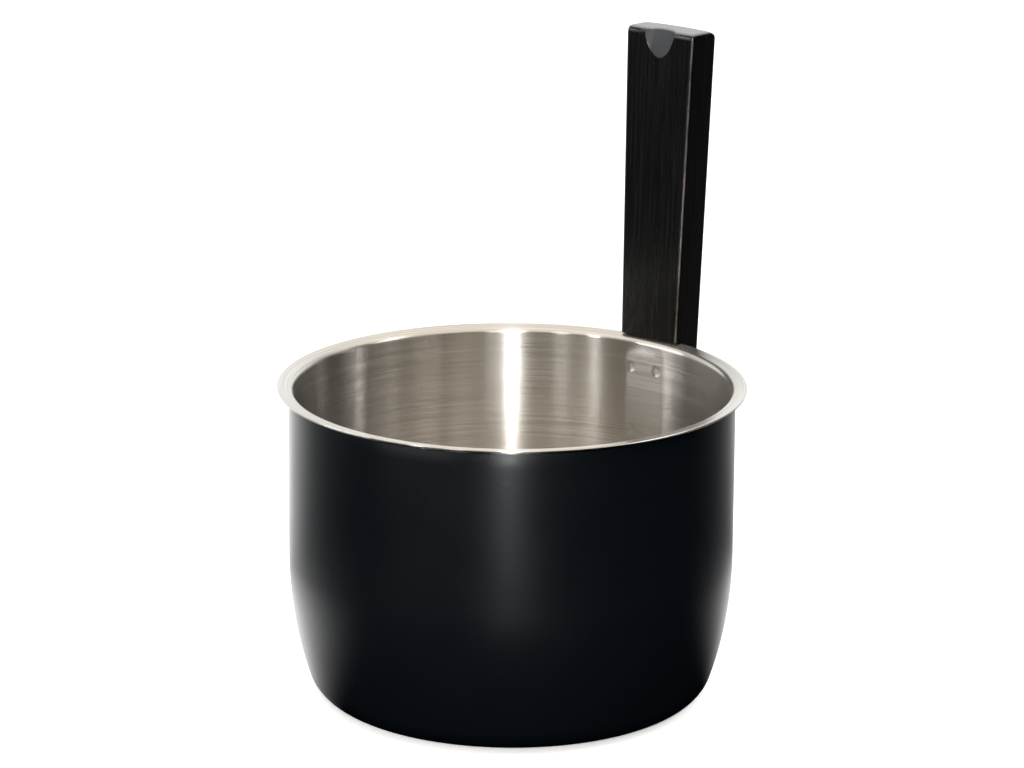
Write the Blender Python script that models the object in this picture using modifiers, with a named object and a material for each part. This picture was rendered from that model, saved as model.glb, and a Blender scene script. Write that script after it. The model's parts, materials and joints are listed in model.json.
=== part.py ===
# Melting pot for candle wax: a stainless steel inner pot with a flared rim stands in a black
# coated shell, with an aluminium heat spreader between the two bottoms. An upright wooden
# handle is screwed to two threaded bosses on a bracket that is spot welded to the wall.
#
# Metres, +Z up. The origin lies on the pot's axis, on the underside of its base, and the
# handle stands on the +Y side.

import math

import bmesh
import bpy

# Body
BODY_RADIUS = 0.0820          # outside of the shell's upright wall
POT_HEIGHT = 0.1180           # underside of the base to the top of the rim
UPRIGHT_FROM = 0.0547         # height where the curved side turns into the upright wall
SIDE_RADIUS = 0.1460          # large arc of the curved side, seen in section
HEEL_RADIUS = 0.0132          # shell's outside corner between side and base
SHELL_WALL = 0.0008
INNER_WALL = 0.0008
INNER_HEEL_RADIUS = 0.0090    # inner pot's outside corner, above the spreader

# Flared rim of the inner pot
RIM_REACH = 0.00425           # how far the rim stands out past the shell
RIM_BEND = 0.0020             # radius of its upper surface where it leaves the wall
RIM_RISE = math.radians(8)    # upward slope of the rim, going out

# Heat spreader between the bottoms
SPREADER_THICKNESS = 0.0030
SPREADER_MARGIN = 0.0015      # kept clear inside the flat part of the shell's bottom
SPREADER_EDGE = 0.0005        # chamfer round both faces

# Spot welds, two rows of two, seen as round dents inside the pot
WELD_SPACING = 0.0120
UPPER_WELD_DROP = 0.0114      # rim top down to the upper row
LOWER_WELD_DROP = 0.0360      # rim top down to the lower row
DENT_RADIUS = 0.00165
DENT_DEPTH = 0.0003

# Bracket on the wall and the pad on the bracket
BRACKET_THICKNESS = 0.0015
WELD_MARGIN = 0.0050          # metal around the welds
BRACKET_CORNER = 0.0040
PAD_THICKNESS = 0.0015
PAD_OVERLAP = 0.0010          # how far the pad shows past the bracket

# Threaded bosses, screws and washers
SCREW_SPACING = 0.0200
BOSS_RADIUS = 0.0045
BOSS_LENGTH = 0.0045
SHANK_RADIUS = 0.0019
HEAD_RADIUS = 0.0038
HEAD_HEIGHT = 0.0022
SOCKET_RADIUS = 0.0014        # across the corners of the hexagon, halved
SOCKET_DEPTH = 0.0012
SHANK_END_ROUND = 0.0004
TIP_CLEARANCE = 0.0005        # screw tip to bracket
WASHER_RADIUS = 0.0043
WASHER_THICKNESS = 0.0008
HEAD_RECESS = 0.0004          # head's top below the handle's back

# Wooden handle, flat towards the pot and crowned at the back
HANDLE_LEAN = math.radians(2.24)
HANDLE_RISE = 0.1187          # rim level to the top end, along the handle
HANDLE_DROP = 0.0500          # rim level to the lower end, along the handle
HANDLE_WIDTH = 0.0262         # at rim level
HANDLE_TAPER = 0.042          # widening for each unit of height
HANDLE_THICKNESS = 0.0155     # through the middle
HANDLE_CROWN = 0.0006         # how much thinner its two sides are
FRONT_CORNER = 0.0012         # round of the long edges towards the pot
BACK_CORNER = 0.0014          # round of the long edges at the back
TOP_INSET = 0.0012            # the top end's rounding, seen from above
TOP_BACK_INSET = 0.0034       # the same at the back
TOP_CROWN = 0.0020            # crown of the back at the very top
TOP_DROP = 0.0026             # height of that rounding
LOW_INSET = 0.0030            # the lower end's rounding, as wide as it is high
SCOOP_RADIUS = 0.0090         # thumb scoop at the top of the side that faces the pot
SCOOP_DEPTH = 0.0042          # at the very top
SCOOP_LENGTH = 0.0108         # from the top down to where it runs out

# Clearances
FIT_GAP = 0.0003              # between pieces that touch or are bonded
HOLE_CLEARANCE = 0.0003       # around a shank, a boss or a head, in radius
RIM_CLEARANCE = 0.0004        # between the rim and the notch in the handle

# Mesh steps
TURNS = 72                    # facets around the pot
SMALL_TURNS = 24              # facets around screws, washers and bosses
SIDE_STEPS = 7
HEEL_STEPS = 5
BEND_STEPS = 4
EDGE_STEPS = 4
CORNER_STEPS = 5
CROWN_STEPS = 8
END_STEPS = 4
DENT_SIDES = 12
SCOOP_SIDES = 48
SMOOTH_LIMIT = math.radians(35)
FLAT_LIMIT = math.radians(0.5)

# Heights and radii that follow from the sizes above
SHELL_TO_INNER = SHELL_WALL + FIT_GAP
INNER_FLOOR = SHELL_WALL + FIT_GAP + SPREADER_THICKNESS + FIT_GAP
RIM_RADIUS = BODY_RADIUS + RIM_REACH
UPPER_WELD_HEIGHT = POT_HEIGHT - UPPER_WELD_DROP
LOWER_WELD_HEIGHT = POT_HEIGHT - LOWER_WELD_DROP
BRACKET_MIDDLE = (UPPER_WELD_HEIGHT + LOWER_WELD_HEIGHT) / 2
BRACKET_WIDTH = WELD_SPACING + 2 * WELD_MARGIN
BRACKET_HEIGHT = UPPER_WELD_HEIGHT - LOWER_WELD_HEIGHT + 2 * WELD_MARGIN
BRACKET_IN = BODY_RADIUS + FIT_GAP
BRACKET_OUT = BRACKET_IN + BRACKET_THICKNESS
PAD_IN = BRACKET_OUT + FIT_GAP
PAD_OUT = PAD_IN + PAD_THICKNESS
SEAT_RADIUS = PAD_OUT + FIT_GAP
BOSS_IN = BRACKET_OUT + FIT_GAP
BOSS_OUT = BOSS_IN + BOSS_LENGTH
BORE_RADIUS = SHANK_RADIUS + HOLE_CLEARANCE
POCKET_RADIUS = BOSS_RADIUS + HOLE_CLEARANCE
COUNTERBORE_RADIUS = max(HEAD_RADIUS, WASHER_RADIUS) + HOLE_CLEARANCE
COUNTERBORE_DEPTH = FIT_GAP + WASHER_THICKNESS + FIT_GAP + HEAD_HEIGHT + HEAD_RECESS


def clear_scene():
    for obj in list(bpy.data.objects):
        bpy.data.objects.remove(obj, do_unlink=True)


def new_collection(name):
    collection = bpy.data.collections.new(name)
    bpy.context.scene.collection.children.link(collection)
    return collection


def make_material(name, colour, roughness, metallic):
    material = bpy.data.materials.new(name)
    material.use_nodes = True
    shader = material.node_tree.nodes["Principled BSDF"]
    shader.inputs["Base Color"].default_value = (*colour, 1.0)
    shader.inputs["Roughness"].default_value = roughness
    shader.inputs["Metallic"].default_value = metallic
    return material


def add_object(name, mesh, collection, material=None):
    obj = bpy.data.objects.new(name, mesh)
    collection.objects.link(obj)
    if material is not None:
        mesh.materials.clear()
        mesh.materials.append(material)
    return obj


def mark_as_cutter(obj):
    obj.hide_render = True
    obj.display_type = "WIRE"


def smooth_round_faces(obj):
    obj.data.shade_smooth()
    obj.data.set_sharp_from_angle(angle=SMOOTH_LIMIT)


def arc(centre_x, centre_z, radius, start, end, steps):
    """Points of an arc, both ends included, as (x, z) pairs."""
    points = []
    for i in range(steps + 1):
        angle = start + (end - start) * i / steps
        points.append((centre_x + radius * math.cos(angle), centre_z + radius * math.sin(angle)))
    return points


def turned(name, profile, collection, material=None, closed=False, turns=TURNS):
    """A body turned about Z from a profile of (radius, height) pairs.

    The profile runs down its outer side. It either starts and ends on the axis, or is a
    closed loop away from it.
    """
    mesh = bpy.data.meshes.new(name)
    verts = [(x, 0.0, z) for x, z in profile]
    edges = [(i, i + 1) for i in range(len(profile) - 1)]
    if closed:
        edges.append((len(profile) - 1, 0))
    mesh.from_pydata(verts, edges, [])
    obj = add_object(name, mesh, collection, material)
    screw = obj.modifiers.new("Turn", "SCREW")
    screw.axis = "Z"
    screw.angle = math.radians(360)
    screw.steps = turns
    screw.render_steps = turns
    screw.use_merge_vertices = True
    screw.merge_threshold = 0.00001
    screw.use_smooth_shade = True
    return obj


def outline_solid(name, points, depth, collection, material=None):
    """A flat outline of (x, z) pairs, thickened by depth along Y about the XZ plane."""
    curve = bpy.data.curves.new(name, "CURVE")
    curve.dimensions = "2D"
    curve.fill_mode = "BOTH"
    curve.extrude = depth / 2
    spline = curve.splines.new("POLY")
    spline.points.add(len(points) - 1)
    for point, (x, z) in zip(spline.points, points):
        point.co = (x, z, 0.0, 1.0)
    spline.use_cyclic_u = True
    drawn = bpy.data.objects.new(name + "_outline", curve)
    collection.objects.link(drawn)
    drawn.rotation_euler = (math.radians(90), 0.0, 0.0)
    bpy.context.view_layer.update()
    evaluated = drawn.evaluated_get(bpy.context.evaluated_depsgraph_get())
    mesh = bpy.data.meshes.new_from_object(evaluated)
    mesh.transform(drawn.matrix_world)
    bm = bmesh.new()
    bm.from_mesh(mesh)
    bmesh.ops.remove_doubles(bm, verts=bm.verts, dist=0.00001)
    bmesh.ops.dissolve_limit(bm, angle_limit=FLAT_LIMIT, verts=bm.verts, edges=bm.edges)
    bmesh.ops.recalc_face_normals(bm, faces=bm.faces)
    bm.to_mesh(mesh)
    bm.free()
    bpy.data.objects.remove(drawn, do_unlink=True)
    mesh.name = name
    return add_object(name, mesh, collection, material)


def rod(name, radius, length, collection, sides=SMALL_TURNS):
    """A cylinder along Z whose lower end stands at its own origin."""
    mesh = bpy.data.meshes.new(name)
    bm = bmesh.new()
    bmesh.ops.create_cone(
        bm, cap_ends=True, segments=sides, radius1=radius, radius2=radius, depth=length)
    bmesh.ops.translate(bm, verts=bm.verts, vec=(0.0, 0.0, length / 2))
    bm.to_mesh(mesh)
    bm.free()
    return add_object(name, mesh, collection)


def aim_outward(obj, y, z):
    """Turn a body made along Z to point along +Y, with its lower end at (0, y, z)."""
    obj.location = (0.0, y, z)
    obj.rotation_euler = (math.radians(-90), 0.0, 0.0)


def boolean(obj, other, operation="DIFFERENCE"):
    modifier = obj.modifiers.new(other.name, "BOOLEAN")
    modifier.operation = operation
    modifier.solver = "EXACT"
    modifier.object = other


def rounded_rectangle(width, height, middle_z, radius):
    """Corner arcs of a rectangle in XZ, run round counter-clockwise."""
    half_x = width / 2 - radius
    half_z = height / 2 - radius
    centres = [(half_x, half_z), (-half_x, half_z), (-half_x, -half_z), (half_x, -half_z)]
    points = []
    for i, (x, z) in enumerate(centres):
        start = math.radians(90 * i)
        end = math.radians(90 * (i + 1))
        points += arc(x, middle_z + z, radius, start, end, CORNER_STEPS)
    return points


def ring_profile(inner, outer, low, high):
    """Section of a plain ring, run down its outer side."""
    return [(outer, high), (outer, low), (inner, low), (inner, high)]


def side_points(inset, floor, heel):
    """Section of the curved side and its heel, from the upright wall down to the floor.

    Every surface of the body shares the centre of the side's large arc. The heel's arc is
    tangent to that arc and to the floor.
    """
    side = SIDE_RADIUS - inset
    centre_x = BODY_RADIUS - SIDE_RADIUS
    turn = math.asin((UPRIGHT_FROM - floor - heel) / (side - heel))
    heel_x = centre_x + (side - heel) * math.cos(turn)
    points = arc(centre_x, UPRIGHT_FROM, side, 0.0, -turn, SIDE_STEPS)
    points += arc(heel_x, floor + heel, heel, -turn, math.radians(-90), HEEL_STEPS)[1:]
    return points


def heel_start_radius(inset, floor, heel):
    """Radius of the flat floor inside the heel."""
    return side_points(inset, floor, heel)[-1][0]


def rim_section():
    """Upper and lower surface of the flared rim, and the height of its bend's centre.

    The sheet leaves the upright wall in an arc, runs straight out at the rim's slope and
    ends in a half-round edge.
    """
    out = (math.cos(RIM_RISE), math.sin(RIM_RISE))
    up = (-math.sin(RIM_RISE), math.cos(RIM_RISE))
    middle = RIM_BEND - INNER_WALL / 2
    bend_x = BODY_RADIUS - SHELL_TO_INNER - INNER_WALL + RIM_BEND
    edge_x = RIM_RADIUS - INNER_WALL / 2
    run = (edge_x - bend_x - middle * up[0]) / out[0]
    edge_z = POT_HEIGHT - INNER_WALL / 2
    bend_z = edge_z - middle * up[1] - run * out[1]
    wall_side = math.radians(180)
    slope_side = math.radians(90) + RIM_RISE
    upper = arc(bend_x, bend_z, RIM_BEND, wall_side, slope_side, BEND_STEPS)
    edge = arc(edge_x, edge_z, INNER_WALL / 2, slope_side, slope_side - math.pi, EDGE_STEPS)
    lower = arc(bend_x, bend_z, RIM_BEND - INNER_WALL, slope_side, wall_side, BEND_STEPS)
    return upper + edge + lower, bend_z


def make_shell(parts, material):
    shell_top = rim_section()[1]
    inside = side_points(SHELL_WALL, SHELL_WALL, HEEL_RADIUS - SHELL_WALL)
    outside = side_points(0.0, 0.0, HEEL_RADIUS)
    profile = [(0.0, SHELL_WALL)] + inside[::-1]
    profile += [(BODY_RADIUS - SHELL_WALL, shell_top), (BODY_RADIUS, shell_top)]
    profile += outside + [(0.0, 0.0)]
    shell = turned("outer_shell", profile, parts, material)
    smooth_round_faces(shell)
    return shell


def make_inner_pot(parts, cutters, material):
    outside = side_points(SHELL_TO_INNER, INNER_FLOOR, INNER_HEEL_RADIUS)
    inside = side_points(
        SHELL_TO_INNER + INNER_WALL, INNER_FLOOR + INNER_WALL, INNER_HEEL_RADIUS - INNER_WALL)
    profile = [(0.0, INNER_FLOOR + INNER_WALL)] + inside[::-1]
    profile += rim_section()[0]
    profile += outside + [(0.0, INNER_FLOOR)]
    pot = turned("inner_pot", profile, parts, material)
    smooth_round_faces(pot)

    wall_inside = BODY_RADIUS - SHELL_TO_INNER - INNER_WALL
    turn = math.asin(WELD_SPACING / 2 / wall_inside)
    for row, height in (("upper", UPPER_WELD_HEIGHT), ("lower", LOWER_WELD_HEIGHT)):
        for side, angle in (("left", -turn), ("right", turn)):
            dent = rod(
                f"dent_{row}_{side}", DENT_RADIUS, DENT_DEPTH * 2, cutters, sides=DENT_SIDES)
            reach = wall_inside - DENT_DEPTH
            dent.location = (reach * math.sin(angle), reach * math.cos(angle), height)
            dent.rotation_euler = (math.radians(-90), 0.0, -angle)
            mark_as_cutter(dent)
            boolean(pot, dent)
    return pot


def make_spreader(parts, material):
    flat = heel_start_radius(SHELL_WALL, SHELL_WALL, HEEL_RADIUS - SHELL_WALL)
    radius = flat - SPREADER_MARGIN
    low = SHELL_WALL + FIT_GAP
    high = low + SPREADER_THICKNESS
    profile = [(0.0, high), (radius - SPREADER_EDGE, high), (radius, high - SPREADER_EDGE)]
    profile += [(radius, low + SPREADER_EDGE), (radius - SPREADER_EDGE, low), (0.0, low)]
    return turned("heat_spreader", profile, parts, material)


def wall_plate(name, radii, width, height, cutters, parts, material):
    """A plate with round corners, curved to stand on the pot's wall between two radii."""
    inner, outer = radii
    low = BRACKET_MIDDLE - height
    high = BRACKET_MIDDLE + height
    plate = turned(name, ring_profile(inner, outer, low, high), parts, material, closed=True)
    points = rounded_rectangle(width, height, BRACKET_MIDDLE, BRACKET_CORNER)
    outline = outline_solid(name + "_form", points, BODY_RADIUS, cutters)
    outline.location.y = BODY_RADIUS
    mark_as_cutter(outline)
    boolean(plate, outline, "INTERSECT")
    return plate


def screw_rows():
    return (
        ("upper", BRACKET_MIDDLE + SCREW_SPACING / 2),
        ("lower", BRACKET_MIDDLE - SCREW_SPACING / 2))


def handle_back(height):
    """Y of the handle's back face at a height."""
    rim_back = BODY_RADIUS + HANDLE_THICKNESS / math.cos(HANDLE_LEAN)
    return rim_back + (height - POT_HEIGHT) * math.tan(HANDLE_LEAN)


def make_bracket(parts, cutters, material):
    return wall_plate(
        "handle_bracket", (BRACKET_IN, BRACKET_OUT), BRACKET_WIDTH, BRACKET_HEIGHT,
        cutters, parts, material)


def make_pad(parts, cutters, material):
    pad = wall_plate(
        "insulating_pad", (PAD_IN, PAD_OUT), BRACKET_WIDTH + 2 * PAD_OVERLAP,
        BRACKET_HEIGHT + 2 * PAD_OVERLAP, cutters, parts, material)
    for row, height in screw_rows():
        hole = rod(f"pad_hole_{row}", POCKET_RADIUS, PAD_THICKNESS * 4, cutters)
        aim_outward(hole, PAD_IN - PAD_THICKNESS, height)
        mark_as_cutter(hole)
        boolean(pad, hole)
    return pad


def make_boss(row, height, parts, material):
    profile = ring_profile(BORE_RADIUS, BOSS_RADIUS, 0.0, BOSS_LENGTH)
    boss = turned(f"{row}_boss", profile, parts, material, closed=True, turns=SMALL_TURNS)
    aim_outward(boss, BOSS_IN, height)
    smooth_round_faces(boss)


def make_washer(row, height, parts, material):
    floor = handle_back(height) - COUNTERBORE_DEPTH
    profile = ring_profile(BORE_RADIUS, WASHER_RADIUS, 0.0, WASHER_THICKNESS)
    washer = turned(f"{row}_washer", profile, parts, material, closed=True, turns=SMALL_TURNS)
    aim_outward(washer, floor + FIT_GAP, height)
    smooth_round_faces(washer)


def make_screw(row, height, parts, cutters, material):
    """A button-head screw with a hexagon socket, its tip at its own origin."""
    floor = handle_back(height) - COUNTERBORE_DEPTH
    tip = BRACKET_OUT + TIP_CLEARANCE + FIT_GAP
    seat = floor + FIT_GAP + WASHER_THICKNESS + FIT_GAP - tip
    top = seat + HEAD_HEIGHT
    crown = HEAD_HEIGHT / 2
    profile = [(0.0, top), (HEAD_RADIUS - crown, top)]
    profile += arc(HEAD_RADIUS - crown, top - crown, crown, math.radians(90), 0.0, EDGE_STEPS)[1:]
    profile += [(HEAD_RADIUS, seat), (SHANK_RADIUS, seat), (SHANK_RADIUS, SHANK_END_ROUND)]
    profile += [(SHANK_RADIUS - SHANK_END_ROUND, 0.0), (0.0, 0.0)]
    screw = turned(f"{row}_screw", profile, parts, material, turns=SMALL_TURNS)
    aim_outward(screw, tip, height)
    smooth_round_faces(screw)
    socket = rod(f"{row}_socket", SOCKET_RADIUS, SOCKET_DEPTH * 2, cutters, sides=6)
    aim_outward(socket, tip + top - SOCKET_DEPTH, height)
    mark_as_cutter(socket)
    boolean(screw, socket)


def handle_section(height, inset, back_inset, crown):
    """Plan of the handle at a height above the rim, drawn in by the given insets.

    The points are (x, y) pairs with y = 0 on the side towards the pot. They run round from
    the flat front, past the right side, over the crowned back and down the left side.
    """
    half = (HANDLE_WIDTH + HANDLE_TAPER * height) / 2 - inset
    side_back = HANDLE_THICKNESS - crown - back_inset
    crown_radius = (half ** 2 + crown ** 2) / (2 * crown)
    spread = math.asin((half - BACK_CORNER) / crown_radius)
    upright = math.radians(90)
    right = arc(
        half - FRONT_CORNER, inset + FRONT_CORNER, FRONT_CORNER, -upright, 0.0, EDGE_STEPS)
    right += arc(
        half - BACK_CORNER, side_back - BACK_CORNER, BACK_CORNER, 0.0, upright, EDGE_STEPS)[:-1]
    back = arc(
        0.0, HANDLE_THICKNESS - back_inset - crown_radius, crown_radius,
        upright - spread, upright + spread, CROWN_STEPS)
    left = [(-x, y) for x, y in reversed(right)]
    return right + back + left


def handle_levels():
    """Height above the rim, inset, back inset and crown of each section, upwards."""
    levels = []
    for i in range(END_STEPS + 1):
        angle = math.radians(90) * i / END_STEPS
        inset = LOW_INSET * (1 - math.sin(angle))
        height = LOW_INSET * (1 - math.cos(angle)) - HANDLE_DROP
        levels.append((height, inset, inset, HANDLE_CROWN))
    for i in range(END_STEPS + 1):
        angle = math.radians(90) * i / END_STEPS
        share = 1 - math.cos(angle)
        height = HANDLE_RISE - TOP_DROP * (1 - math.sin(angle))
        crown = HANDLE_CROWN + (TOP_CROWN - HANDLE_CROWN) * share
        levels.append((height, TOP_INSET * share, TOP_BACK_INSET * share, crown))
    return levels


def handle_mesh():
    """Loft through the handle's sections, closed by a face at each end."""
    mesh = bpy.data.meshes.new("wooden_handle")
    bm = bmesh.new()
    rings = []
    for height, inset, back_inset, crown in handle_levels():
        section = handle_section(height, inset, back_inset, crown)
        rings.append([bm.verts.new((x, y, height)) for x, y in section])
    for lower, upper in zip(rings, rings[1:]):
        count = len(lower)
        for i in range(count):
            bm.faces.new((lower[i], lower[(i + 1) % count], upper[(i + 1) % count], upper[i]))
    bm.faces.new(rings[0][::-1])
    bm.faces.new(rings[-1])
    bmesh.ops.recalc_face_normals(bm, faces=bm.faces)
    bm.to_mesh(mesh)
    bm.free()
    return mesh


def make_handle(parts, cutters, material):
    handle = add_object("wooden_handle", handle_mesh(), parts, material)
    handle.location = (0.0, BODY_RADIUS, POT_HEIGHT)
    handle.rotation_euler = (-HANDLE_LEAN, 0.0, 0.0)

    # Seat on the pad below the rim, and the notch that clears the rim
    notch_low = rim_section()[1] - RIM_CLEARANCE
    notch_high = POT_HEIGHT + RIM_CLEARANCE
    notch_radius = RIM_RADIUS + RIM_CLEARANCE
    seat_low = POT_HEIGHT - HANDLE_DROP - HANDLE_THICKNESS
    profile = [(0.0, notch_high), (notch_radius, notch_high), (notch_radius, notch_low)]
    profile += [(SEAT_RADIUS, notch_low), (SEAT_RADIUS, seat_low), (0.0, seat_low)]
    seat = turned("handle_seat", profile, cutters)
    mark_as_cutter(seat)
    boolean(handle, seat)

    # Thumb scoop: a leaning round groove that runs out on the side facing the pot
    top_y = BODY_RADIUS + HANDLE_RISE * math.sin(HANDLE_LEAN)
    top_z = POT_HEIGHT + HANDLE_RISE * math.cos(HANDLE_LEAN)
    tilt = math.atan(SCOOP_DEPTH / SCOOP_LENGTH)
    lean = HANDLE_LEAN + tilt
    length = 2 * (HANDLE_THICKNESS + HANDLE_WIDTH)
    scoop = rod("thumb_scoop", SCOOP_RADIUS, length, cutters, sides=SCOOP_SIDES)
    axis_y = top_y + SCOOP_DEPTH - SCOOP_RADIUS / math.cos(tilt)
    scoop.location = (
        0.0,
        axis_y - length / 2 * math.sin(lean),
        top_z - length / 2 * math.cos(lean))
    scoop.rotation_euler = (-lean, 0.0, 0.0)
    mark_as_cutter(scoop)
    boolean(handle, scoop)

    for row, height in screw_rows():
        floor = handle_back(height) - COUNTERBORE_DEPTH
        pocket_start = SEAT_RADIUS - PAD_THICKNESS
        pocket_end = BOSS_OUT + FIT_GAP
        through = handle_back(height) + HANDLE_THICKNESS - BODY_RADIUS
        cuts = (
            ("pocket", POCKET_RADIUS, pocket_start, pocket_end - pocket_start),
            ("hole", BORE_RADIUS, pocket_start, through),
            ("counterbore", COUNTERBORE_RADIUS, floor, HANDLE_THICKNESS))
        for kind, radius, start, length in cuts:
            cut = rod(f"{kind}_{row}", radius, length, cutters)
            aim_outward(cut, start, height)
            mark_as_cutter(cut)
            boolean(handle, cut)
    return handle


def build():
    clear_scene()
    parts = new_collection("candle_melting_pot")
    cutters = new_collection("cutters")

    steel = make_material("brushed_steel", (0.50, 0.47, 0.43), 0.30, 1.0)
    coating = make_material("black_coating", (0.006, 0.008, 0.010), 0.45, 0.0)
    aluminium = make_material("aluminium", (0.70, 0.71, 0.72), 0.35, 1.0)
    bracket_steel = make_material("bracket_steel", (0.42, 0.42, 0.41), 0.40, 1.0)
    plated = make_material("plated_steel", (0.58, 0.57, 0.54), 0.25, 1.0)
    fibre = make_material("heat_fibre", (0.10, 0.09, 0.08), 0.85, 0.0)
    wood = make_material("black_wood", (0.008, 0.007, 0.007), 0.38, 0.0)

    make_shell(parts, coating)
    make_inner_pot(parts, cutters, steel)
    make_spreader(parts, aluminium)
    make_bracket(parts, cutters, bracket_steel)
    make_pad(parts, cutters, fibre)
    for row, height in screw_rows():
        make_boss(row, height, parts, bracket_steel)
        make_washer(row, height, parts, plated)
        make_screw(row, height, parts, cutters, plated)
    make_handle(parts, cutters, wood)


build()
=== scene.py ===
# Melting pot for candle wax: the finish of every piece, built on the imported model.
#
# Metres, +Z up, the pot's axis at x = y = 0 and the handle on the +Y side.

import json
import math

import bmesh
import bpy
import numpy as np
from mathutils import Matrix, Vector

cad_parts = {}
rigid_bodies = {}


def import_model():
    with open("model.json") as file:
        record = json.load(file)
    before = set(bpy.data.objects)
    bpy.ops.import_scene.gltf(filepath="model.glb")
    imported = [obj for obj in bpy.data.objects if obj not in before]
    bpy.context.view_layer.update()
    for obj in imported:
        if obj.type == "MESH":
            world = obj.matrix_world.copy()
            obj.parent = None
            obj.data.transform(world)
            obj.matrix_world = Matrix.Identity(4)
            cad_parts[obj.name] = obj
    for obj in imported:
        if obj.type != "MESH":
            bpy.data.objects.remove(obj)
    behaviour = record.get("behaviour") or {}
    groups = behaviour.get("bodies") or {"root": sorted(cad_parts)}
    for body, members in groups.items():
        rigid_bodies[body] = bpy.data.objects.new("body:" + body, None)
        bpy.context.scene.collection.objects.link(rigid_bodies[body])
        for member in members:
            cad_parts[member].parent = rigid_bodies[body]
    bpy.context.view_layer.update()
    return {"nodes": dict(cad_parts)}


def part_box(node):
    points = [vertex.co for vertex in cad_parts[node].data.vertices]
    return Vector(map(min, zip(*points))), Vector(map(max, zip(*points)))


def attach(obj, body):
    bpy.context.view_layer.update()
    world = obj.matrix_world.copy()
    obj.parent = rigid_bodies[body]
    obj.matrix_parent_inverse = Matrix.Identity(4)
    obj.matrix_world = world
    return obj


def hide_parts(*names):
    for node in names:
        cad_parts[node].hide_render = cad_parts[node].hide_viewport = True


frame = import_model()
print("parts loaded:", len(frame["nodes"]))


# Camera

view = {
    "distance": 1.651,         # pot's axis to the lens, along the floor
    "height": 0.5857,
    "pitch": 0.2761,           # downward, in radians
    "roll": 0.0063,
    "handleTurn": 38.82,       # handle's place round the pot, in degrees past the far side
    "lens": 164.63,            # mm
    "sensor": 36.0,            # mm across
    "farthest": 50.0,
}


def placeCamera(settings):
    turn = Matrix.Rotation(math.radians(settings["handleTurn"]), 4, "Z")
    lift = Matrix.Translation((0.0, -settings["distance"], settings["height"]))
    tilt = Matrix.Rotation(math.radians(90) - settings["pitch"], 4, "X")
    roll = Matrix.Rotation(settings["roll"], 4, "Z")
    data = bpy.data.cameras.new("camera")
    data.lens = settings["lens"]
    data.sensor_width = settings["sensor"]
    data.clip_end = settings["farthest"]
    camera = bpy.data.objects.new("camera", data)
    bpy.context.scene.collection.objects.link(camera)
    camera.matrix_world = turn @ lift @ tilt @ roll
    bpy.context.scene.camera = camera


placeCamera(view)
print("camera placed")


# Nodes and colours

softly = {"interpolation_type": "SMOOTHSTEP"}   # Map Range, gentle at both ends
noiseRange = (0.3, 0.7)        # most of a noise's values lie between these


def fromHex(code):
    # sRGB hex to linear light
    share = np.array([int(code[i:i + 2], 16) for i in (1, 3, 5)]) / 255.0
    linear = np.where(share <= 0.04045, share / 12.92, ((share + 0.055) / 1.055) ** 2.4)
    return (*linear.tolist(), 1.0)


def addNode(tree, kind, settings=None, inputs=None):
    # adds a node; an input is either a plain value or the output that feeds it
    node = tree.nodes.new(kind)
    for name, value in (settings or {}).items():
        setattr(node, name, value)
    for name, value in (inputs or {}).items():
        if isinstance(value, bpy.types.NodeSocket):
            tree.links.new(value, node.inputs[name])
        else:
            node.inputs[name].default_value = value
    return node


def newMaterial(name):
    material = bpy.data.materials.new(name)
    material.use_nodes = True
    return material, material.node_tree, material.node_tree.nodes["Principled BSDF"]


def varyRoughness(tree, shader, noise, values):
    # roughness goes up and down with the noise, by half of its change to either side
    level = addNode(tree, "ShaderNodeMapRange", inputs={
        "Value": noise.outputs["Fac"], "From Min": noiseRange[0], "From Max": noiseRange[1],
        "To Min": values["roughness"] - values["roughnessChange"] / 2,
        "To Max": values["roughness"] + values["roughnessChange"] / 2})
    tree.links.new(level.outputs["Result"], shader.inputs["Roughness"])


def giveMaterial(obj, material):
    if obj.data.materials:
        for i in range(len(obj.data.materials)):
            obj.data.materials[i] = material
    else:
        obj.data.materials.append(material)


# Surfaces

def arcPoints(centreX, centreZ, radius, start, end, steps):
    # (x, z) = centre + radius * (cos, sin) for even steps of the angle, both ends included
    angle = np.linspace(start, end, steps + 1)
    return np.stack([centreX + radius * np.cos(angle), centreZ + radius * np.sin(angle)], 1)


def linePoints(start, end, steps):
    # even steps on a straight line, both ends included
    share = np.linspace(0.0, 1.0, steps + 1)[:, None]
    return np.array(start) * (1 - share) + np.array(end) * share


def joinPoints(*runs):
    # one profile from several runs, with points that fall on each other taken out
    points = np.concatenate(runs)
    step = np.linalg.norm(np.diff(points, axis=0), axis=1)
    return points[np.concatenate([[True], step > 1e-7])]


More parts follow.
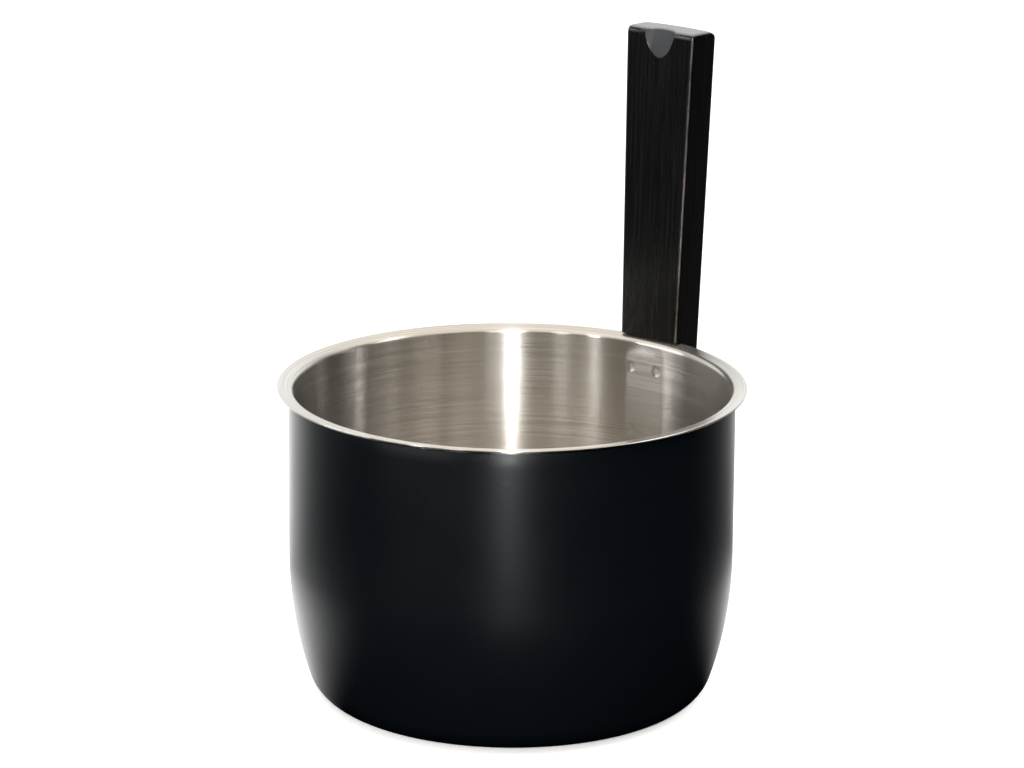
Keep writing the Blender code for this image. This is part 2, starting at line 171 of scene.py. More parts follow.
def turnedPiece(name, profile, angles, push=None):
    # Each (radius, height) of the profile goes round the Z axis:
    #   x = r sin a, y = r cos a, z = height, with r = radius + push(a, height, row)
    # The profile starts and ends on the axis, where one point closes the surface.
    # UV map: u is the length round the body's own radius, v the length along the profile.
    count = len(angles)
    rings = profile[1:-1]
    a, row = np.meshgrid(angles, np.arange(len(rings)))
    r = np.repeat(rings[:, :1], count, 1)
    z = np.repeat(rings[:, 1:], count, 1)
    if push is not None:
        r = r + push(a, z, row)
    points = np.stack([r * np.sin(a), r * np.cos(a), z], 2).reshape(-1, 3)
    ends = np.array([[0.0, 0.0, profile[0, 1]], [0.0, 0.0, profile[-1, 1]]])
    points = np.concatenate([points, ends])

    i, j = np.meshgrid(np.arange(len(rings) - 1), np.arange(count), indexing="ij")
    after = (j + 1) % count
    quads = np.stack([i * count + j, i * count + after,
                      (i + 1) * count + after, (i + 1) * count + j], 2).reshape(-1, 4)
    near = np.arange(count)
    far = (near + 1) % count
    last = (len(rings) - 1) * count
    first = np.stack([near * 0 + len(points) - 2, far, near], 1)
    final = np.stack([near * 0 + len(points) - 1, last + near, last + far], 1)
    fans = np.concatenate([first, final])

    along = np.concatenate([[0.0], np.cumsum(np.linalg.norm(np.diff(profile, axis=0), axis=1))])
    around = np.append(angles, angles[0] + 2 * math.pi) * profile[:, 0].max()
    v = along[1:-1]
    quadUv = np.stack([
        np.stack([around[j], v[i]], 2), np.stack([around[j + 1], v[i]], 2),
        np.stack([around[j + 1], v[i + 1]], 2), np.stack([around[j], v[i + 1]], 2)], 2)
    flat = near * 0.0
    firstUv = np.stack([
        np.stack([around[near], flat], 1), np.stack([around[near + 1], flat + v[0]], 1),
        np.stack([around[near], flat + v[0]], 1)], 1)
    finalUv = np.stack([
        np.stack([around[near], flat + along[-1]], 1), np.stack([around[near], flat + v[-1]], 1),
        np.stack([around[near + 1], flat + v[-1]], 1)], 1)
    uv = np.concatenate([quadUv.reshape(-1, 2), firstUv.reshape(-1, 2), finalUv.reshape(-1, 2)])

    corners = np.concatenate([quads.ravel(), fans.ravel()])
    sizes = np.concatenate([np.full(len(quads), 4), np.full(len(fans), 3)])
    mesh = bpy.data.meshes.new(name)
    mesh.vertices.add(len(points))
    mesh.vertices.foreach_set("co", points.ravel())
    mesh.loops.add(len(corners))
    mesh.loops.foreach_set("vertex_index", corners.astype(np.int32))
    mesh.polygons.add(len(sizes))
    mesh.polygons.foreach_set("loop_start", (np.cumsum(sizes) - sizes).astype(np.int32))
    mesh.uv_layers.new(name="UVMap").data.foreach_set("uv", uv.ravel())
    mesh.update(calc_edges=True)
    mesh.validate()
    mesh.shade_smooth()
    obj = bpy.data.objects.new(name, mesh)
    bpy.context.scene.collection.objects.link(obj)
    return obj


joining = {
    "sameCorner": 0.000005,    # m between corners that are one point
    "sameFlat": 0.3,           # degrees between triangles of one flat face
}


def smoothCopy(node, name, sharpFrom):
    # a copy of a CAD node with its loose triangles joined and its round faces shaded smooth
    mesh = frame["nodes"][node].data.copy()
    mesh.name = name
    joined = bmesh.new()
    joined.from_mesh(mesh)
    bmesh.ops.remove_doubles(joined, verts=joined.verts, dist=joining["sameCorner"])
    bmesh.ops.dissolve_limit(
        joined, angle_limit=math.radians(joining["sameFlat"]),
        verts=joined.verts, edges=joined.edges)
    joined.to_mesh(mesh)
    joined.free()
    mesh.shade_smooth()
    mesh.set_sharp_from_angle(angle=math.radians(sharpFrom))
    obj = bpy.data.objects.new(name, mesh)
    bpy.context.scene.collection.objects.link(obj)
    weighted = obj.modifiers.new("flatFacesFirst", "WEIGHTED_NORMAL")
    weighted.keep_sharp = True
    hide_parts(node)
    return obj


# Brushed stainless steel, worked on the lathe: fine lines run round the pot, so that a light
# spreads into an upright band. Warm grey, with faint lighter and darker rings.

steel = {
    "colour": "#dfdcd7",
    "darkLines": "#c6c2bb",
    "darkest": 0.32,           # levels of the noise that give the darkest and lightest line
    "lightest": 0.68,
    "roughness": 0.25,
    "roughnessChange": 0.02,
    "anisotropy": 1.0,
    "brushTurn": 0.25,         # a quarter turn, so that lights stretch across the lines
    "lineSpacing": 0.0005,     # m; real lines are ten times finer, and wouldn't show
    "lineLength": 0.060,
    "ringSpacing": 0.0030,     # broader rings, in roughness only
    "ringLength": 0.120,
}


def makeSteel(values):
    material, tree, shader = newMaterial("turned_brushed_stainless_steel")
    given = addNode(tree, "ShaderNodeTexCoord")
    position = addNode(tree, "ShaderNodeSeparateXYZ", inputs={"Vector": given.outputs["Object"]})
    along = addNode(tree, "ShaderNodeSeparateXYZ", inputs={"Vector": given.outputs["UV"]})

    # x and y across the pot, and the length along the profile in place of z
    place = addNode(tree, "ShaderNodeCombineXYZ", inputs={
        "X": position.outputs["X"], "Y": position.outputs["Y"], "Z": along.outputs["Y"]})

    def lines(spacing, length, detail):
        # noise that changes quickly along the profile and slowly round the pot
        point = addNode(tree, "ShaderNodeVectorMath", {"operation": "MULTIPLY"}, {
            0: place.outputs[0], 1: (1 / length, 1 / length, 1 / spacing)})
        return addNode(tree, "ShaderNodeTexNoise", {"noise_dimensions": "3D"}, {
            "Vector": point.outputs[0], "Scale": 1.0, "Detail": detail, "Roughness": 0.6})

    fine = lines(values["lineSpacing"], values["lineLength"], detail=3.0)
    rings = lines(values["ringSpacing"], values["ringLength"], detail=1.0)
    contrast = addNode(tree, "ShaderNodeMapRange", inputs={
        "Value": fine.outputs["Fac"],
        "From Min": values["darkest"], "From Max": values["lightest"]})
    colour = addNode(tree, "ShaderNodeMix", {"data_type": "RGBA"}, {
        "Factor": contrast.outputs["Result"],
        "A": fromHex(values["darkLines"]), "B": fromHex(values["colour"])})
    varyRoughness(tree, shader, rings, values)
    tree.links.new(colour.outputs["Result"], shader.inputs["Base Color"])
    shader.inputs["Metallic"].default_value = 1.0
    shader.inputs["Anisotropic"].default_value = values["anisotropy"]
    shader.inputs["Anisotropic Rotation"].default_value = values["brushTurn"]
    return material


# Baked matt black coating on sheet steel, sprayed: blue-black, a soft broad highlight, and a
# very fine peel that only breaks the highlight up.

coating = {
    "colour": "#060a0e",
    "lightSpecks": "#0a0e13",
    "roughness": 0.28,
    "roughnessChange": 0.05,
    "speck": 0.0012,           # m
    "cloudsPerMetre": 28.0,    # slow change of the roughness
    "peel": 0.0016,            # m, drawn coarser than the real spray
    "peelHeight": 0.000004,
    "ior": 1.45,
}


def makeCoating(values):
    material, tree, shader = newMaterial("baked_matt_black_coating")
    place = addNode(tree, "ShaderNodeTexCoord")
    specks = addNode(tree, "ShaderNodeTexNoise", inputs={
        "Vector": place.outputs["Object"], "Scale": 1 / values["speck"], "Detail": 2.0})
    clouds = addNode(tree, "ShaderNodeTexNoise", inputs={
        "Vector": place.outputs["Object"], "Scale": values["cloudsPerMetre"], "Detail": 3.0})
    peel = addNode(tree, "ShaderNodeTexNoise", inputs={
        "Vector": place.outputs["Object"], "Scale": 1 / values["peel"], "Detail": 1.0})
    colour = addNode(tree, "ShaderNodeMix", {"data_type": "RGBA"}, {
        "Factor": specks.outputs["Fac"],
        "A": fromHex(values["colour"]), "B": fromHex(values["lightSpecks"])})
    bump = addNode(tree, "ShaderNodeBump", inputs={
        "Height": peel.outputs["Fac"], "Distance": values["peelHeight"], "Strength": 1.0})
    varyRoughness(tree, shader, clouds, values)
    tree.links.new(colour.outputs["Result"], shader.inputs["Base Color"])
    tree.links.new(bump.outputs["Normal"], shader.inputs["Normal"])
    shader.inputs["IOR"].default_value = values["ior"]
    return material


# Beech, stained and lacquered black: long grain along the handle shows as faint streaks in
# the gloss, and the long edges are rubbed back to a warm grey, partly a painted highlight.

wood = {
    "colour": "#020303",
    "streaks": "#050505",
    # worn edge colour, partly a painted highlight on the rounded corner
    "wornEdgeAndHighlight": "#756b65",
    "wornWidth": 0.0008,       # m from the corner's middle
    "wornFully": 0.00028,      # m, the part of it that is rubbed right through
    "wornPatches": 90.0,       # patches a metre that break the worn line up
    "wornLeast": 0.25,         # how worn the least worn patches are
    "smoothest": 0.19,         # roughness between and along the streaks
    "roughest": 0.33,
    "ior": 1.48,
    "grain": 0.0011,           # m across the grain
    "grainLength": 0.040,
    "grainDepth": 0.000012,
    "lean": 2.24,              # degrees, the handle's own lean
    "width": 0.0262,           # at rim level
    "taper": 0.042,
    "scoop": "#34373b",        # painted sheen: the scoop painted a lighter grey for the light it catches from above
    "scoopRoughness": 0.62,
    "scoopHalfWidth": 0.0088,
    "scoopDepth": 0.0060,
    "scoopLength": 0.0140,     # down from the top
    "scoopFade": 0.0005,       # m over which its colour ends at the sides and the back
    "scoopFoot": 0.0010,       # the same at its lower end
    "topFacePaintedSheen": "#757c80",     # painted sheen: the top face painted light grey for the bright backdrop it mirrors
    "endGrainRoughness": 0.32,
}


def makeWood(values, rimHeight, frontAtRim, topHeight):
    material, tree, shader = newMaterial("black_lacquered_beech")
    place = addNode(tree, "ShaderNodeTexCoord")
    # measured from the front face at rim level, and turned upright
    local = addNode(tree, "ShaderNodeMapping", {"vector_type": "TEXTURE"}, {
        "Vector": place.outputs["Object"], "Location": (0.0, frontAtRim, rimHeight),
        "Rotation": (-math.radians(values["lean"]), 0.0, 0.0)})
    at = addNode(tree, "ShaderNodeSeparateXYZ", inputs={"Vector": local.outputs[0]})

    stretched = addNode(tree, "ShaderNodeVectorMath", {"operation": "MULTIPLY"}, {
        0: local.outputs[0],
        1: (1 / values["grain"], 1 / values["grain"], 1 / values["grainLength"])})
    grain = addNode(tree, "ShaderNodeTexNoise", inputs={
        "Vector": stretched.outputs[0], "Scale": 1.0, "Detail": 4.0, "Roughness": 0.65})
    patches = addNode(tree, "ShaderNodeTexNoise", inputs={
        "Vector": local.outputs[0], "Scale": values["wornPatches"], "Detail": 4.0})

    # distance from the long front corner: half width less |x|, and y from the front face
    half = addNode(tree, "ShaderNodeMath", {"operation": "MULTIPLY_ADD"}, {
        0: at.outputs["Z"], 1: values["taper"] / 2, 2: values["width"] / 2})
    across = addNode(tree, "ShaderNodeMath", {"operation": "ABSOLUTE"}, {0: at.outputs["X"]})
    side = addNode(tree, "ShaderNodeMath", {"operation": "SUBTRACT"}, {
        0: half.outputs[0], 1: across.outputs[0]})
    away = addNode(tree, "ShaderNodeMath", {"operation": "MAXIMUM"}, {
        0: side.outputs[0], 1: at.outputs["Y"]})
    # the worn band along the front corners, partly a painted highlight
    wornEdgeAndHighlight = addNode(tree, "ShaderNodeMapRange", softly, {
        "Value": away.outputs[0],
        "From Min": values["wornWidth"], "From Max": values["wornFully"]})
    broken = addNode(tree, "ShaderNodeMapRange", inputs={
        "Value": patches.outputs["Fac"], "From Min": 0.38, "From Max": 0.62,
        "To Min": values["wornLeast"]})
    wearAndHighlight = addNode(tree, "ShaderNodeMath", {"operation": "MULTIPLY"}, {
        0: wornEdgeAndHighlight.outputs["Result"], 1: broken.outputs["Result"]})

    # the top face: within a hair of the handle's height; it gets a painted sheen. The scoop:
    # behind the front face, below the top, and between its two sides; a lighter painted sheen
    top = (topHeight - rimHeight) / math.cos(math.radians(values["lean"]))
    foot = top - values["scoopLength"]
    depth = values["scoopDepth"]
    width = values["scoopHalfWidth"]
    fade = values["scoopFade"]
    end, *scoopSides = [
        addNode(tree, "ShaderNodeMapRange", softly, {
            "Value": value, "From Min": none, "From Max": full}).outputs["Result"]
        for value, none, full in (
            (at.outputs["Z"], top - 0.0007, top - 0.0003),
            (at.outputs["Z"], top - 0.0004, top - 0.0008),
            (at.outputs["Y"], 0.00005, 0.0003),
            (at.outputs["Y"], depth + fade, depth),
            (across.outputs[0], width + fade, width),
            (at.outputs["Z"], foot - values["scoopFoot"], foot))]
    scoop = 1.0
    for share in scoopSides:
        scoop = addNode(tree, "ShaderNodeMath", {"operation": "MULTIPLY"}, {
            0: scoop, 1: share}).outputs[0]

    # grain streaks, painted sheen on top and in the scoop, worn edges with a painted highlight
    colour = fromHex(values["colour"])
    for factor, over in (
            (grain.outputs["Fac"], values["streaks"]), (end, values["topFacePaintedSheen"]),
            (scoop, values["scoop"]), (wearAndHighlight.outputs[0], values["wornEdgeAndHighlight"])):
        colour = addNode(tree, "ShaderNodeMix", {"data_type": "RGBA"}, {
            "Factor": factor, "A": colour, "B": fromHex(over)}).outputs["Result"]
    rough = addNode(tree, "ShaderNodeMapRange", inputs={
        "Value": grain.outputs["Fac"], "From Min": 0.25, "From Max": 0.75,
        "To Min": values["smoothest"], "To Max": values["roughest"]}).outputs["Result"]
    for factor, over in (
            (end, values["endGrainRoughness"]), (scoop, values["scoopRoughness"])):
        rough = addNode(tree, "ShaderNodeMix", {"data_type": "FLOAT"}, {
            "Factor": factor, "A": rough, "B": over}).outputs["Result"]
    bump = addNode(tree, "ShaderNodeBump", inputs={
        "Height": grain.outputs["Fac"], "Distance": values["grainDepth"], "Strength": 1.0})
    tree.links.new(colour, shader.inputs["Base Color"])
    tree.links.new(rough, shader.inputs["Roughness"])
    tree.links.new(bump.outputs["Normal"], shader.inputs["Normal"])
    shader.inputs["IOR"].default_value = values["ior"]
    return material


# Plain metals and the pad: each one a colour, a grain that follows how it was made, and a
# roughness that changes a little over the piece.

plainFinishes = {
    "rolled_aluminium": {
        "light": "#c9cbcd", "dark": "#b4b7ba", "roughness": 0.38, "metallic": 1.0,
        "scale": (60.0, 1500.0, 60.0), "depth": 0.000003, "roughnessChange": 0.10},
    "rolled_stainless_strip": {
        "light": "#b3b0aa", "dark": "#98958f", "roughness": 0.42, "metallic": 1.0,
        "scale": (1400.0, 80.0, 80.0), "depth": 0.000003, "roughnessChange": 0.10},
    "zinc_plated_screw_steel": {
        "light": "#c4c2bb", "dark": "#a29f98", "roughness": 0.28, "metallic": 1.0,
        "scale": (900.0, 900.0, 900.0), "depth": 0.000002, "roughnessChange": 0.12},
    "pressed_heat_fibre": {
        "light": "#453f38", "dark": "#2c2823", "roughness": 0.88, "metallic": 0.0,
        "scale": (1300.0, 1300.0, 1300.0), "depth": 0.00003, "roughnessChange": 0.10},
}


def makePlain(name, values):
    material, tree, shader = newMaterial(name)
    place = addNode(tree, "ShaderNodeTexCoord")
    stretched = addNode(tree, "ShaderNodeVectorMath", {"operation": "MULTIPLY"}, {
        0: place.outputs["Object"], 1: values["scale"]})
    grain = addNode(tree, "ShaderNodeTexNoise", inputs={
        "Vector": stretched.outputs[0], "Scale": 1.0, "Detail": 3.0, "Roughness": 0.6})
    colour = addNode(tree, "ShaderNodeMix", {"data_type": "RGBA"}, {
        "Factor": grain.outputs["Fac"],
        "A": fromHex(values["dark"]), "B": fromHex(values["light"])})
    bump = addNode(tree, "ShaderNodeBump", inputs={
        "Height": grain.outputs["Fac"], "Distance": values["depth"], "Strength": 1.0})
    varyRoughness(tree, shader, grain, values)
    tree.links.new(colour.outputs["Result"], shader.inputs["Base Color"])
    tree.links.new(bump.outputs["Normal"], shader.inputs["Normal"])
    shader.inputs["Metallic"].default_value = values["metallic"]
    return material


# Body of the pot: both layers share the centre of the side's large arc

body = {
    "uprightFrom": 0.0547,     # height where the curved side turns into the upright wall
    "sideRadius": 0.1460,
    "heelRadius": 0.0132,
    "innerHeel": 0.0090,
    "shellWall": 0.0008,
    "innerWall": 0.0008,
    "gap": 0.0003,
    "rimBend": 0.0020,
    "rimRise": 8.0,            # degrees
    "edgeRound": 0.0002,       # round of the shell's top edge
    "turns": 300,              # faces round the pot
}

# Spot welds that hold the bracket, and the wall that they draw flat
welds = {
    "across": 0.0120,
    "upperDrop": 0.0114,       # from the rim's top
    "lowerDrop": 0.0360,
    "radius": 0.00210,
    "depth": 0.00020,
    "flatHalfWidth": 0.0083,
    "flatSoftness": 0.00012,
    "flatFrom": 0.070,         # heights between which the wall is drawn flat
    "flatTo": 0.1145,
    "flatFadeLow": 0.012,      # and how far it takes to end at each of them
    "flatFadeHigh": 0.003,
    "flatTurn": 0.5,           # radians to either side of the handle, past which it is round
    "dentFrom": 0.5,           # a dent's edge in shares of its radius: full depth inside
    "dentTo": 1.1,             # and none outside
    "reach": 1.4,              # radii round a weld that get the fine mesh
    "fineStep": 0.00028,
}

shellLow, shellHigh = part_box("outer_shell")
innerLow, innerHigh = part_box("inner_pot")
bodyRadius = shellHigh.x
shellTop = shellHigh.z
rimRadius = innerHigh.x
rimTop = innerHigh.z
innerFloor = innerLow.z


def sideRun(inset, floor, heel, sideSteps, heelSteps):
    # from the upright wall down round the large arc and the heel to the flat floor
    side = body["sideRadius"] - inset
    centreX = bodyRadius - body["sideRadius"]
    turn = math.asin((body["uprightFrom"] - floor - heel) / (side - heel))
    heelX = centreX + (side - heel) * math.cos(turn)
    return joinPoints(
        arcPoints(centreX, body["uprightFrom"], side, 0.0, -turn, sideSteps),
        arcPoints(heelX, floor + heel, heel, -turn, math.radians(-90), heelSteps))


def makeShell():
    # along the inside from the axis, over the round top edge, and down the outside to the axis
    wall = body["shellWall"]
    soft = body["edgeRound"]
    heel = body["heelRadius"]
    outside = sideRun(0.0, 0.0, heel, sideSteps=36, heelSteps=18)
    inside = sideRun(wall, wall, heel - wall, sideSteps=24, heelSteps=10)[::-1]
    outer = bodyRadius
    inner = bodyRadius - wall
    profile = joinPoints(
        linePoints((0.0, wall), inside[0], 6), inside,
        linePoints(inside[-1], (inner, shellTop - soft), 4),
        arcPoints(inner + soft, shellTop - soft, soft, math.radians(180), math.radians(90), 3),
        arcPoints(outer - soft, shellTop - soft, soft, math.radians(90), 0.0, 4),
        linePoints((outer, shellTop - soft), outside[0], 12), outside,
        linePoints(outside[-1], (0.0, 0.0), 10))
    angles = np.linspace(-math.pi, math.pi, body["turns"], endpoint=False)
    return turnedPiece("coatedShell", profile, angles)


def makeInnerPot():
    # along the inside from the axis, over the rim, and down the outside back to the axis
    wall = body["innerWall"]
    inset = body["shellWall"] + body["gap"]
    heel = body["innerHeel"]
    inside = sideRun(
        inset + wall, innerFloor + wall, heel - wall, sideSteps=32, heelSteps=16)[::-1]
    outside = sideRun(inset, innerFloor, heel, sideSteps=24, heelSteps=10)
    wallIn = bodyRadius - inset - wall
    wallOut = bodyRadius - inset

    # rim: bend, straight slope and half-round edge
    rise = math.radians(body["rimRise"])
    slope = (math.cos(rise), math.sin(rise))
    bendX = wallIn + body["rimBend"]
    bendZ = shellTop
    edgeX = rimRadius - wall / 2
    edgeZ = rimTop - wall / 2
    upper = arcPoints(
        bendX, bendZ, body["rimBend"], math.pi, math.pi / 2 + rise, 14)
    edge = arcPoints(edgeX, edgeZ, wall / 2, math.pi / 2 + rise, rise - math.pi / 2, 10)
    lower = arcPoints(
        bendX, bendZ, body["rimBend"] - wall, math.pi / 2 + rise, math.pi, 8)

    # heights of the upright wall, close together at the welds
    weldZ = (rimTop - welds["upperDrop"], rimTop - welds["lowerDrop"])
    reach = welds["radius"] * welds["reach"]
    steps = int(2 * reach / welds["fineStep"])
    heights = np.unique(np.round(np.concatenate([
        np.linspace(body["uprightFrom"], bendZ, 46),
        *[np.linspace(z - reach, z + reach, steps) for z in weldZ]]), 6))
    upright = np.stack([np.full(len(heights), wallIn), heights], 1)

    floorSteps = 14
    profile = joinPoints(
        linePoints((0.0, innerFloor + wall), inside[0], floorSteps), inside, upright, upper,
        linePoints(upper[-1], edge[0], 4), edge, linePoints(edge[-1], lower[0], 3), lower,
        linePoints((wallOut, bendZ), outside[0], 8), outside,
        linePoints(outside[-1], (0.0, innerFloor), 4))
    insideRows = floorSteps + len(inside) + len(upright) + len(upper) - 2
    weldTurn = math.asin(welds["across"] / 2 / wallIn)

    def push(a, z, row):
        # flat: the wall is drawn in by the height of its arc over the chord, with the change
        # softened, q = R (t^2 - a^2) / 2, r falls by (q + sqrt(q^2 + e^2)) / 2
        # dent: pushed out by the depth inside the weld's circle, with a soft edge
        halfTurn = welds["flatHalfWidth"] / wallIn
        q = wallIn * (halfTurn ** 2 - a ** 2) / 2
        drawn = (q + np.sqrt(q ** 2 + welds["flatSoftness"] ** 2)) / 2
        low = np.clip((z - welds["flatFrom"]) / welds["flatFadeLow"], 0, 1)
        high = np.clip((welds["flatTo"] - z) / welds["flatFadeHigh"], 0, 1)
        fade = low * low * (3 - 2 * low) * high * high * (3 - 2 * high)
        moved = -drawn * fade * (np.abs(a) < welds["flatTurn"])
        edge = welds["dentTo"] - welds["dentFrom"]
        for height in weldZ:
            for turn in (-weldTurn, weldTurn):
                away = np.hypot((a - turn) * wallIn, z - height)
                t = np.clip((away / welds["radius"] - welds["dentFrom"]) / edge, 0, 1)
                moved = moved + welds["depth"] * (1 - t * t * (3 - 2 * t))
        return moved * (row < insideRows)

    # angles, close together at the welds
    wide = (weldTurn * wallIn + reach) / wallIn
    fineCount = int(2 * wide * wallIn / welds["fineStep"])
    angles = np.unique(np.round(np.concatenate([
        np.linspace(-math.pi, math.pi, body["turns"], endpoint=False),
        np.linspace(-wide, wide, fineCount)]), 5))
    return turnedPiece("innerPot", profile, angles, push)


shell = makeShell()
innerPot = makeInnerPot()
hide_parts("outer_shell")
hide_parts("inner_pot")
giveMaterial(shell, makeCoating(coating))
giveMaterial(innerPot, makeSteel(steel))
print("pot body:", len(shell.data.polygons), "and", len(innerPot.data.polygons), "faces")


# Handle, screws and washers keep their modelled shape, with joined and smoothed faces

handle = smoothCopy("wooden_handle", "blackHandle", sharpFrom=32)
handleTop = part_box("wooden_handle")[1].z
giveMaterial(handle, makeWood(wood, rimTop, bodyRadius, handleTop))

finishes = {name: makePlain(name, values) for name, values in plainFinishes.items()}
fittings = {
    "screw": ("zinc_plated_screw_steel", "plated_steel"),
    "washer": ("zinc_plated_screw_steel", "plated_steel"),
    "boss": ("rolled_stainless_strip", "bracket_steel"),
}
smallPieces = []
for kind, (finish, slotName) in fittings.items():
    for level in ("upper", "lower"):
        piece = smoothCopy(level + "_" + kind, level + kind.capitalize(), sharpFrom=35)
        giveMaterial(piece, finishes[finish])
        smallPieces.append(piece)
giveMaterial(frame["nodes"]["handle_bracket"], finishes["rolled_stainless_strip"])
giveMaterial(frame["nodes"]["insulating_pad"], finishes["pressed_heat_fibre"])
giveMaterial(frame["nodes"]["heat_spreader"], finishes["rolled_aluminium"])

for piece in (shell, innerPot, handle, *smallPieces):
    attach(piece, "root")
print("handle and fittings finished")


# Floor and studio light. Angles are in degrees: azimuth from the camera's side of the pot,
# positive to the camera's right, and elevation above the pot.

studio = {
    "floorSize": 12.0,
    "floorColour": "#f2f2f0",
    "floorRoughness": 0.95,
    "lift": 0.45,              # added to the floor that the camera sees, to keep it white
    "backLeft": -168.0,        # azimuth that the bright end of the sweep lies towards
    "floorGlow": 3.0,          # how strongly the sweep shows in the pot's gloss
    "glowStops": ((0.3, 0.03), (0.6, 0.13), (0.85, 0.5)),   # cosine from backLeft, share
    "nearGlow": 3.0,           # the same for the floor close round the pot
    "nearFrom": 0.26,          # m from the axis where that starts, going inwards
    "nearFull": 0.12,
    "nearSide": -0.3,          # cosine from backLeft where it starts
    "fill": 1.3,               # strength of the ceiling
    "ceilingFrom": 0.25,       # sines of the elevation where it starts and is full
    "ceilingFull": 0.75,
    "ceilingColour": "#fff6ea",
    "sweepGlow": 1.15,         # strength of the backdrop
    "sweepFrom": 0.1,          # cosines from backLeft where it starts and is full
    "sweepFull": 0.9,
    "aimHeight": 0.08,         # height on the pot's axis that the lamps point at
}

# a light's radiance is what its power over its area and pi gives
lights = {
    "keyStrip": {
        "azimuth": 0.0, "elevation": 20.0, "distance": 3.0,
        "width": 0.12, "height": 1.20, "radiance": 100.0},
    "keySpread": {
        "azimuth": 3.0, "elevation": 16.0, "distance": 3.1,
        "width": 1.10, "height": 0.90, "radiance": 2.6},
    "lowStrip": {
        "azimuth": 0.0, "elevation": 14.0, "distance": 1.15,
        "width": 0.08, "height": 0.50, "radiance": 10.0},
    "floorStrip": {
        "azimuth": -1.5, "elevation": -5.0, "distance": 0.60,
        "width": 0.055, "height": 0.08, "radiance": 32.0},
    "leftStrip": {
        "azimuth": -46.0, "elevation": 18.0, "distance": 3.0,
        "width": 0.26, "height": 1.00, "radiance": 9.0},
    "leftSoft": {
        "azimuth": -27.0, "elevation": 18.0, "distance": 3.0,
        "width": 0.36, "height": 1.00, "radiance": 3.5},
    "leftWall": {
        "azimuth": -88.0, "elevation": 15.0, "distance": 3.0,
        "width": 1.70, "height": 0.80, "radiance": 4.2},
    "lowLeft": {
        "azimuth": -46.0, "elevation": -3.5, "distance": 0.80,
        "width": 0.55, "height": 0.07, "radiance": 2.2},
    "rightHigh": {
        "azimuth": 90.0, "elevation": 42.0, "distance": 3.0,
        "width": 1.40, "height": 1.00, "radiance": 3.8},
}


def makeLight(name, values):
    turn = towardCamera + math.radians(values["azimuth"])
    rise = math.radians(values["elevation"])
    data = bpy.data.lights.new(name, "AREA")
    data.shape = "RECTANGLE"
    data.size = values["width"]
    data.size_y = values["height"]
    data.energy = values["radiance"] * math.pi * values["width"] * values["height"]
    lamp = bpy.data.objects.new(name, data)
    bpy.context.scene.collection.objects.link(lamp)
    lamp.matrix_world = (
        Matrix.Rotation(turn - math.pi / 2, 4, "Z")
        @ Matrix.Translation((0.0, 0.0, studio["aimHeight"]))
        @ Matrix.Rotation(rise, 4, "X")
        @ Matrix.Translation((0.0, values["distance"], 0.0))
        @ Matrix.Rotation(math.radians(-90), 4, "X"))


def backwardness(tree, vector):
    # cosine between a horizontal direction and the bright end of the sweep
    turned = addNode(tree, "ShaderNodeVectorRotate", {"rotation_type": "Z_AXIS"}, {
        "Vector": vector, "Angle": -towardCamera - math.radians(studio["backLeft"])})
    flat = addNode(tree, "ShaderNodeVectorMath", {"operation": "MULTIPLY"}, {
        0: turned.outputs[0], 1: (1.0, 1.0, 0.0)})
    unit = addNode(tree, "ShaderNodeVectorMath", {"operation": "NORMALIZE"}, {
        0: flat.outputs[0]})
    parts = addNode(tree, "ShaderNodeSeparateXYZ", inputs={"Vector": unit.outputs[0]})
    return parts.outputs["X"]


def makeFloor():
    half = studio["floorSize"] / 2
    mesh = bpy.data.meshes.new("floor")
    mesh.from_pydata(
        [(-half, -half, 0), (half, -half, 0), (half, half, 0), (-half, half, 0)], [],
        [(0, 1, 2, 3)])
    floor = bpy.data.objects.new("floor", mesh)
    bpy.context.scene.collection.objects.link(floor)
    material, tree, shader = newMaterial("pale_paper_sweep")
    shader.inputs["Base Color"].default_value = fromHex(studio["floorColour"])
    shader.inputs["Roughness"].default_value = studio["floorRoughness"]
    shader.inputs["Specular IOR Level"].default_value = 0.0
    place = addNode(tree, "ShaderNodeTexCoord")
    back = backwardness(tree, place.outputs["Object"])
    # black at 0 and white at 1 already
    ramp = addNode(tree, "ShaderNodeValToRGB", inputs={"Fac": back})
    for position, share in studio["glowStops"]:
        stop = ramp.color_ramp.elements.new(position)
        stop.color = (share, share, share, 1.0)
    away = addNode(tree, "ShaderNodeVectorMath", {"operation": "LENGTH"}, {
        0: place.outputs["Object"]})
    near = addNode(tree, "ShaderNodeMapRange", softly, {
        "Value": away.outputs["Value"],
        "From Min": studio["nearFrom"], "From Max": studio["nearFull"]})
    broad = addNode(tree, "ShaderNodeMapRange", softly, {
        "Value": back, "From Min": studio["nearSide"], "From Max": 1.0})
    close = addNode(tree, "ShaderNodeMath", {"operation": "MULTIPLY"}, {
        0: near.outputs["Result"], 1: broad.outputs["Result"]})
    closeGlow = addNode(tree, "ShaderNodeMath", {"operation": "MULTIPLY"}, {
        0: close.outputs[0], 1: studio["nearGlow"]})
    farGlow = addNode(tree, "ShaderNodeMath", {"operation": "MULTIPLY"}, {
        0: ramp.outputs["Color"], 1: studio["floorGlow"]})
    level = addNode(tree, "ShaderNodeMath", {"operation": "MAXIMUM"}, {
        0: closeGlow.outputs[0], 1: farGlow.outputs[0]})
    glow = addNode(tree, "ShaderNodeEmission", inputs={"Strength": level.outputs[0]})
    path = addNode(tree, "ShaderNodeLightPath")
    seen = addNode(tree, "ShaderNodeMixShader", inputs={0: path.outputs["Is Camera Ray"]})
    output = tree.nodes["Material Output"]
    tree.links.new(glow.outputs[0], seen.inputs[1])
    lift = addNode(tree, "ShaderNodeEmission", inputs={"Strength": studio["lift"]})
    lit = addNode(tree, "ShaderNodeAddShader", inputs={
        0: shader.outputs[0], 1: lift.outputs[0]})
    tree.links.new(lit.outputs[0], seen.inputs[2])
    tree.links.new(seen.outputs[0], output.inputs["Surface"])
    giveMaterial(floor, material)


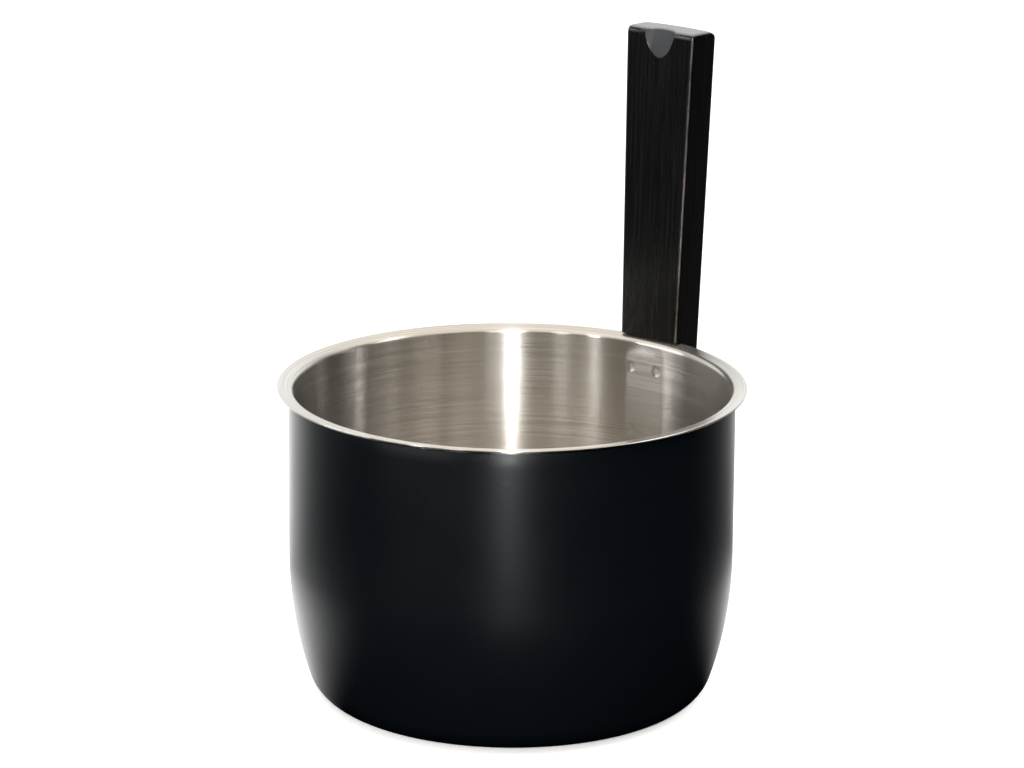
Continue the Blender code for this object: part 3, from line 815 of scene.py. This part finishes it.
def makeWorld():
    world = bpy.data.worlds.new("studio")
    world.use_nodes = True
    tree = world.node_tree
    background = tree.nodes["Background"]
    place = addNode(tree, "ShaderNodeTexCoord")
    up = addNode(tree, "ShaderNodeSeparateXYZ", inputs={"Vector": place.outputs["Generated"]})
    high = addNode(tree, "ShaderNodeMapRange", softly, {
        "Value": up.outputs["Z"],
        "From Min": studio["ceilingFrom"], "From Max": studio["ceilingFull"]})
    back = backwardness(tree, place.outputs["Generated"])
    behind = addNode(tree, "ShaderNodeMapRange", softly, {
        "Value": back, "From Min": studio["sweepFrom"], "From Max": studio["sweepFull"]})
    ceiling = addNode(tree, "ShaderNodeMath", {"operation": "MULTIPLY"}, {
        0: high.outputs["Result"], 1: studio["fill"]})
    sweep = addNode(tree, "ShaderNodeMath", {"operation": "MULTIPLY"}, {
        0: behind.outputs["Result"], 1: studio["sweepGlow"]})
    both = addNode(tree, "ShaderNodeMath", {"operation": "MAXIMUM"}, {
        0: ceiling.outputs[0], 1: sweep.outputs[0]})
    path = addNode(tree, "ShaderNodeLightPath")
    shown = addNode(tree, "ShaderNodeMath", {"operation": "MAXIMUM"}, {
        0: both.outputs[0], 1: path.outputs["Is Camera Ray"]})
    unseen = addNode(tree, "ShaderNodeMath", {"operation": "SUBTRACT"}, {
        0: 1.0, 1: path.outputs["Is Camera Ray"]})
    warm = addNode(tree, "ShaderNodeMath", {"operation": "MULTIPLY"}, {
        0: high.outputs["Result"], 1: unseen.outputs[0]})
    tint = addNode(tree, "ShaderNodeMix", {"data_type": "RGBA"}, {
        "Factor": warm.outputs[0], "A": (1.0, 1.0, 1.0, 1.0),
        "B": fromHex(studio["ceilingColour"])})
    tree.links.new(tint.outputs["Result"], background.inputs["Color"])
    tree.links.new(shown.outputs[0], background.inputs["Strength"])
    bpy.context.scene.world = world


towardCamera = math.radians(view["handleTurn"] - 90)
makeFloor()
makeWorld()
for lightName, values in lights.items():
    makeLight(lightName, values)
bpy.context.scene.view_settings.view_transform = "Standard"
print("floor and lights set")
